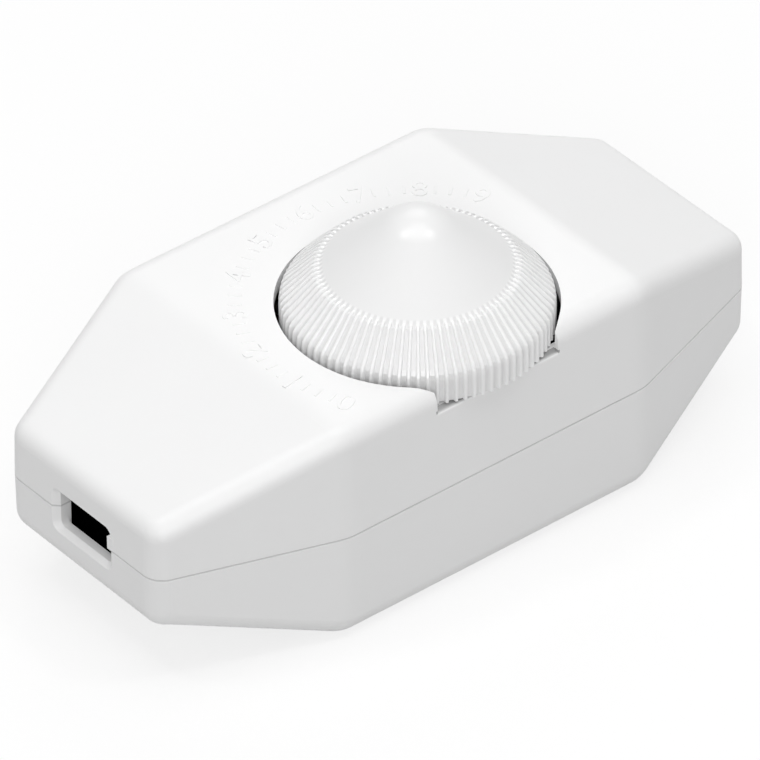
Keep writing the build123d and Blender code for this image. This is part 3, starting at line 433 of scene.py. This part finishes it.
def phenolic_laminate():
    """Paper and phenolic resin pressed to a board: brown, with fibres and a dull gloss."""
    finish = Finish("pressed_phenolic_laminate", {"IOR": RESIN_IOR, "Roughness": 0.42})
    place = finish.add("ShaderNodeTexCoord").outputs["Object"]
    laid = finish.add("ShaderNodeMapping", inputs={
        "Vector": place, "Scale": [scale_for(size) for size in FIBRES_MM]})
    fibre = finish.add("ShaderNodeTexNoise", inputs={
        "Vector": laid.outputs["Vector"], "Scale": 1.0, "Detail": 4.0})
    patch = finish.add("ShaderNodeTexNoise", inputs={
        "Vector": place, "Scale": scale_for(PATCH_MM), "Detail": 2.0})
    brown = finish.add("ShaderNodeMix", COLOURS, {
        MIX_SHARE: fibre.outputs["Fac"], MIX_FIRST: linear("#A87847"),
        MIX_SECOND: linear("#8A5A2F")})
    base = finish.add("ShaderNodeMix", COLOURS, {
        MIX_SHARE: patch.outputs["Fac"], MIX_FIRST: brown.outputs[MIX_COLOUR],
        MIX_SECOND: linear("#946537")})
    relief = finish.add("ShaderNodeBump", inputs={
        "Height": fibre.outputs["Fac"], "Strength": 1.0, "Distance": FIBRE_DEEP * MM})
    finish.feed(finish.shader, {
        "Base Color": base.outputs[MIX_COLOUR], "Normal": relief.outputs["Normal"]})
    return finish.material


WIRE_PITCH = 0.8
WIRE_DEEP = 0.15


def enamelled_copper():
    """Copper wire under clear enamel: warm, with a glossy coat, laid turn beside turn on the core."""
    finish = Finish("enamelled_copper_wire", {
        "Metallic": 1.0, "Roughness": 0.25, "Coat Weight": 0.8, "Coat Roughness": 0.1,
        "Coat IOR": ENAMEL_IOR})
    low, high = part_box("choke_winding")
    centre = [(a + b) / 2 for a, b in zip(low, high)]
    place = finish.add("ShaderNodeTexCoord").outputs["Object"]
    aside = finish.add("ShaderNodeVectorMath", {"operation": "SUBTRACT"}, {0: place, 1: centre})
    wires = math.floor(math.pi * (high[0] - low[0]) / (WIRE_PITCH * MM))
    crown = finish.add("ShaderNodeMapRange", inputs={
        "Value": wave_round(finish, aside.outputs[0], wires), "From Min": -1.0})
    # Painted shade between the turns: dark brown in the hollows, bright copper on the crowns
    base = finish.add("ShaderNodeMix", COLOURS, {
        MIX_SHARE: crown.outputs["Result"], MIX_FIRST: linear("#6E3517"),
        MIX_SECOND: linear("#C77338")})
    relief = finish.add("ShaderNodeBump", inputs={
        "Height": crown.outputs["Result"], "Strength": 1.0, "Distance": WIRE_DEEP * MM})
    finish.feed(finish.shader, {
        "Base Color": base.outputs[MIX_COLOUR], "Normal": relief.outputs["Normal"]})
    return finish.material


GLASS_WAVES_MM = (1.0, 10.0, 1.0)
GLASS_DEEP = 0.01


def clear_glass_tube():
    """Drawn glass: clear, with a faint green depth and long slight waves from the drawing."""
    finish = Finish("drawn_clear_glass", {
        "Base Color": linear("#F1F7F4"), "IOR": GLASS_IOR, "Transmission Weight": 1.0})
    place = finish.add("ShaderNodeTexCoord").outputs["Object"]
    drawn = finish.add("ShaderNodeMapping", inputs={
        "Vector": place, "Scale": [scale_for(size) for size in GLASS_WAVES_MM]})
    wave = finish.add("ShaderNodeTexNoise", inputs={
        "Vector": drawn.outputs["Vector"], "Scale": 1.0})
    spread = finish.add("ShaderNodeMapRange", inputs={
        "Value": wave.outputs["Fac"], "To Min": 0.01, "To Max": 0.05})
    relief = finish.add("ShaderNodeBump", inputs={
        "Height": wave.outputs["Fac"], "Strength": 1.0, "Distance": GLASS_DEEP * MM})
    finish.feed(finish.shader, {
        "Roughness": spread.outputs["Result"], "Normal": relief.outputs["Normal"]})
    return finish.material


MOTTLE_MM = 0.5
LEAD_TIN = "#CFCFCB"


def banded_rod(node, name, body, bands, half_long, band_half):
    """A lacquered rod with painted bands along it and bare tinned leads out of its ends."""
    low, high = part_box(node)
    spans = [b - a for a, b in zip(low, high)]
    along = spans.index(max(spans))
    middle = (low[along] + high[along]) / 2
    finish = Finish(name, {"IOR": RESIN_IOR})
    place = finish.add("ShaderNodeTexCoord").outputs["Object"]
    parts = finish.add("ShaderNodeSeparateXYZ", inputs={"Vector": place})
    off = finish.add("ShaderNodeMath", {"operation": "SUBTRACT"}, {
        0: parts.outputs[along], 1: middle})
    mottle = finish.add("ShaderNodeTexNoise", inputs={
        "Vector": place, "Scale": scale_for(MOTTLE_MM), "Detail": 2.0})
    colour = finish.add("ShaderNodeMix", COLOURS, {
        MIX_SHARE: mottle.outputs["Fac"], MIX_FIRST: linear(body[0]), MIX_SECOND: linear(body[1])})
    for band, code in bands:
        there = finish.add("ShaderNodeMath", {"operation": "COMPARE"}, {
            0: off.outputs[0], 1: band * MM, 2: band_half * MM})
        colour = finish.add("ShaderNodeMix", COLOURS, {
            MIX_SHARE: there.outputs[0], MIX_FIRST: colour.outputs[MIX_COLOUR],
            MIX_SECOND: linear(code)})
    away = finish.add("ShaderNodeMath", {"operation": "ABSOLUTE"}, {0: off.outputs[0]})
    lead = finish.add("ShaderNodeMath", {"operation": "GREATER_THAN"}, {
        0: away.outputs[0], 1: half_long * MM})
    base = finish.add("ShaderNodeMix", COLOURS, {
        MIX_SHARE: lead.outputs[0], MIX_FIRST: colour.outputs[MIX_COLOUR],
        MIX_SECOND: linear(LEAD_TIN)})
    rough = finish.add("ShaderNodeMapRange", inputs={
        "Value": mottle.outputs["Fac"], "To Min": 0.18, "To Max": 0.32})
    finish.feed(finish.shader, {
        "Base Color": base.outputs[MIX_COLOUR],
        "Metallic": lead.outputs[0],
        "Roughness": rough.outputs["Result"],
    })
    return finish.material


def lacquered_resistor(node):
    """A ceramic rod dipped in blue lacquer, with four painted bands."""
    bands = [(-2.2, "#6B3A1E"), (-1.0, "#17181A"), (0.2, "#C9722B"), (2.2, "#B79A45")]
    return banded_rod(node, "lacquered_" + node, ("#7FA3BD", "#789BB5"), bands,
                      half_long=3.2, band_half=0.28)


def painted_glass_diac(node):
    """A small glass bead painted blue, with one dark band."""
    return banded_rod(node, "painted_glass_" + node, ("#38548A", "#30497B"), [(1.1, "#16181C")],
                      half_long=1.9, band_half=0.3)


FINISHES = {
    "white_abs": satin_abs_housing,
    "wheel_abs": polished_abs_wheel,
    "screw_steel": zinc_plated_screws,
    "shaft_aluminium": drawn_aluminium,
    "black_moulding": black_moulding_compound,
    "phenolic_board": phenolic_laminate,
    "tinned_brass": tinned_brass,
    "can_steel": nickel_plated_can,
    "ferrite": sintered_ferrite,
    "enamelled_copper": enamelled_copper,
    "glass_tube": clear_glass_tube,
    "capacitor_box": yellow_film_box,
    "trimmer_blue": blue_trimmer_moulding,
    "terminal_nylon": green_polyamide,
    "clamp_nylon": natural_polyamide,
}
ROD_FINISHES = {
    "resistor_lacquer": lacquered_resistor,
    "diac_glass": painted_glass_diac,
}


def dress(piece, material):
    """Gives a piece one finish all over."""
    piece.data.materials.clear()
    piece.data.materials.append(material)


def dress_nodes():
    """Gives every carried-over node the finish of its material slot, and returns the finishes made."""
    made = {slot: finish() for slot, finish in FINISHES.items()}
    for part in frame["record"]["subparts"]:
        node, slot = part["node"], part["material_slot"]
        material = ROD_FINISHES[slot](node) if slot in ROD_FINISHES else made[slot]
        dress(frame["nodes"][node], material)
    return made


# Pieces that the housing gets here

def eased_block(shape, place, size, ease, segments):
    """Adds a block with eased edges to a mesh in the making."""
    scale = Matrix.Diagonal([value * MM for value in size] + [1])
    block = bmesh.ops.create_cube(shape, size=1.0, matrix=place @ scale)
    edges = dict.fromkeys(edge for vertex in block["verts"] for edge in vertex.link_edges)
    bmesh.ops.bevel(shape, geom=list(edges), offset=ease * MM, segments=segments, profile=0.5,
                    affect="EDGES", material=-1)


def finished(name, shape, material):
    """Makes an object of a mesh in the making, and it rides on the housing."""
    mesh = bpy.data.meshes.new(name)
    shape.to_mesh(mesh)
    shape.free()
    piece = bpy.data.objects.new(name, mesh)
    bpy.context.collection.objects.link(piece)
    dress(piece, material)
    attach(piece, "housing")


SLOT_HALF = 4.8
SLOT_MIDDLE_Z = 14.9
JAMB_OUT, JAMB_IN = 43.25, 42.65
JAMB_WIDE = 1.0
JAMB_HIGH = 6.6
JAMB_ROUND = 0.1


def make_slot_jambs(material):
    """The thicker stretch of wall on one side of each cord slot, which deepens the slot there."""
    middle_x = (JAMB_OUT + JAMB_IN) / 2
    middle_y = SLOT_HALF + JAMB_WIDE / 2
    for name, turn in (("slot_jamb_in", 1), ("slot_jamb_out", -1)):
        shape = bmesh.new()
        centre = (-turn * middle_x, turn * middle_y, SLOT_MIDDLE_Z)
        place = Matrix.Translation([value * MM for value in centre])
        size = (JAMB_OUT - JAMB_IN, JAMB_WIDE, JAMB_HIGH)
        eased_block(shape, place, size, JAMB_ROUND, segments=2)
        finished(name, shape, material)


# The dial, whose real marks can't be read: figures run clockwise round the wheel's far side
DIAL_R = 21.3
DIAL_START = 208.0
DIAL_SWEEP = 178.0
DIAL_FIGURES = 10
DIAL_TICKS = 3
FIGURE_HIGH = 3.0
# How much of the letter size a figure fills in height
FIGURE_SHARE = 0.72
FIGURE_RISE = 0.07
FIGURE_SINK = 0.05
FIGURE_EASE = 0.03
TICK_LONG = 1.6
TICK_WIDE = 0.35


def figure_mesh(text):
    """A raised figure, lying face up at the origin."""
    curve = bpy.data.curves.new("figure_" + text, "FONT")
    curve.body = text
    curve.size = FIGURE_HIGH / FIGURE_SHARE * MM
    curve.align_x = "CENTER"
    curve.align_y = "CENTER"
    curve.extrude = (FIGURE_RISE + FIGURE_SINK) / 2 * MM
    curve.bevel_depth = FIGURE_EASE * MM
    lettering = bpy.data.objects.new(curve.name, curve)
    bpy.context.collection.objects.link(lettering)
    bpy.context.view_layer.update()
    mesh = bpy.data.meshes.new_from_object(lettering)
    bpy.data.objects.remove(lettering)
    return mesh


def dial_place(degrees):
    """Where a figure stands on the housing's flat top, its head away from the wheel."""
    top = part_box("upper_shell")[1][2]
    lift = (FIGURE_RISE - FIGURE_SINK) / 2 * MM
    centre = Matrix.Translation((WHEEL_AXIS[0] * MM, WHEEL_AXIS[1] * MM, top + lift))
    turn = Matrix.Rotation(math.radians(degrees - 90), 4, "Z")
    return centre @ turn @ Matrix.Translation((0, DIAL_R * MM, 0))


def make_dial(material):
    """Plain figures from 0 to 9 with ticks between them, raised from the housing's top."""
    dial = bmesh.new()
    step = DIAL_SWEEP / (DIAL_FIGURES - 1)
    for index in range(DIAL_FIGURES):
        mesh = figure_mesh(str(index))
        mesh.transform(dial_place(DIAL_START - index * step))
        dial.from_mesh(mesh)
        bpy.data.meshes.remove(mesh)
    marks = DIAL_TICKS + 1
    for index in range((DIAL_FIGURES - 1) * marks):
        # A figure stands here already
        if index % marks == 0:
            continue
        place = dial_place(DIAL_START - index * step / marks)
        size = (TICK_WIDE, TICK_LONG, FIGURE_RISE + FIGURE_SINK)
        eased_block(dial, place, size, FIGURE_EASE, segments=1)
    finished("dial_figures", dial, material)


# Floor, world and lamps

# Half the floor's side, in metres
FLOOR_HALF = 3.0
# The floor lies this far under the base, so that the two don't share a plane
FLOOR_GAP = 0.02
# The share of the seen floor that is even white, which keeps its shadow faint
FLOOR_GLOW = 0.75
FLOOR_BOUNCE = "#C0C0C0"
# The strength of the world's light on the object
WORLD_LIGHT = 0.379
# In metres
LAMP_DISTANCE = 1.2
# Degrees round from the camera, degrees up, metres across, and watts
LAMPS = {
    "overhead": (0.0, 88.0, 0.9, 3.95),
    "left_spot": (-84.0, 66.0, 0.2, 1.35),
    "right_spot": (84.0, 66.0, 0.2, 1.35),
    "front_fill": (0.0, 30.0, 0.6, 4.2),
    "back_fill": (180.0, 40.0, 0.6, 1.45),
}


def seen_rays(nodes):
    """One for the camera's rays and those that come by a mirror or through glass, nought for others."""
    rays = nodes.add("ShaderNodeLightPath").outputs
    mirrored = nodes.add("ShaderNodeMath", {"operation": "MAXIMUM"}, {
        0: rays["Is Glossy Ray"], 1: rays["Is Transmission Ray"]})
    seen = nodes.add("ShaderNodeMath", {"operation": "MAXIMUM"}, {
        0: rays["Is Camera Ray"], 1: mirrored.outputs[0]})
    return seen.outputs[0]


def make_floor():
    """White paper: seen nearly white all over, with a soft shadow left under the object."""
    mesh = bpy.data.meshes.new("floor")
    shape = bmesh.new()
    bmesh.ops.create_grid(shape, x_segments=1, y_segments=1, size=FLOOR_HALF,
                          matrix=Matrix.Translation((0, 0, -FLOOR_GAP * MM)))
    shape.to_mesh(mesh)
    shape.free()
    floor = bpy.data.objects.new("floor", mesh)
    bpy.context.collection.objects.link(floor)
    finish = Finish("white_paper_floor")
    paper = finish.add("ShaderNodeBsdfDiffuse", inputs={"Color": linear(WHITE)})
    glow = finish.add("ShaderNodeEmission", inputs={"Color": linear(WHITE), "Strength": 1.0})
    seen = finish.add("ShaderNodeMixShader", inputs={
        0: FLOOR_GLOW, 1: paper.outputs[0], 2: glow.outputs[0]})
    # Other rays find a pale grey, so that the floor doesn't light the walls more than in the photo
    bounce = finish.add("ShaderNodeBsdfDiffuse", inputs={"Color": linear(FLOOR_BOUNCE)})
    mix = finish.add("ShaderNodeMixShader", inputs={
        0: seen_rays(finish), 1: bounce.outputs[0], 2: seen.outputs[0]})
    finish.feed(finish.tree.nodes["Material Output"], {"Surface": mix.outputs[0]})
    dress(floor, finish.material)


def make_world():
    """White wherever it is seen, and a plain even light on everything else."""
    world = bpy.data.worlds.new("white_studio")
    world.use_nodes = True
    bpy.context.scene.world = world
    nodes = Nodes(world.node_tree)
    strength = nodes.add("ShaderNodeMapRange", inputs={
        "Value": seen_rays(nodes), "To Min": WORLD_LIGHT, "To Max": 1.0})
    nodes.feed(nodes.tree.nodes["Background"], {
        "Color": linear(WHITE), "Strength": strength.outputs["Result"]})


def make_lamps():
    """Soft round lamps at one distance, each aimed at the middle of the housing."""
    aim = Vector((0, 0, VIEW_AIM_Z))
    for name, (turn, height, size, power) in LAMPS.items():
        azimuth = math.radians(VIEW_AZIMUTH + turn)
        rise = math.radians(height)
        level = math.cos(rise)
        away = Vector((math.sin(azimuth) * level, -math.cos(azimuth) * level, math.sin(rise)))
        data = bpy.data.lights.new(name, "AREA")
        data.shape = "DISK"
        data.size = size
        data.energy = power
        lamp = bpy.data.objects.new(name, data)
        bpy.context.collection.objects.link(lamp)
        lamp.location = aim + away * LAMP_DISTANCE
        lamp.rotation_mode = "QUATERNION"
        lamp.rotation_quaternion = away.to_track_quat("Z", "Y")


make_camera()
finishes = dress_nodes()
make_slot_jambs(finishes["white_abs"])
make_dial(finishes["white_abs"])
make_floor()
make_world()
make_lamps()
bpy.context.scene.view_settings.view_transform = "Standard"
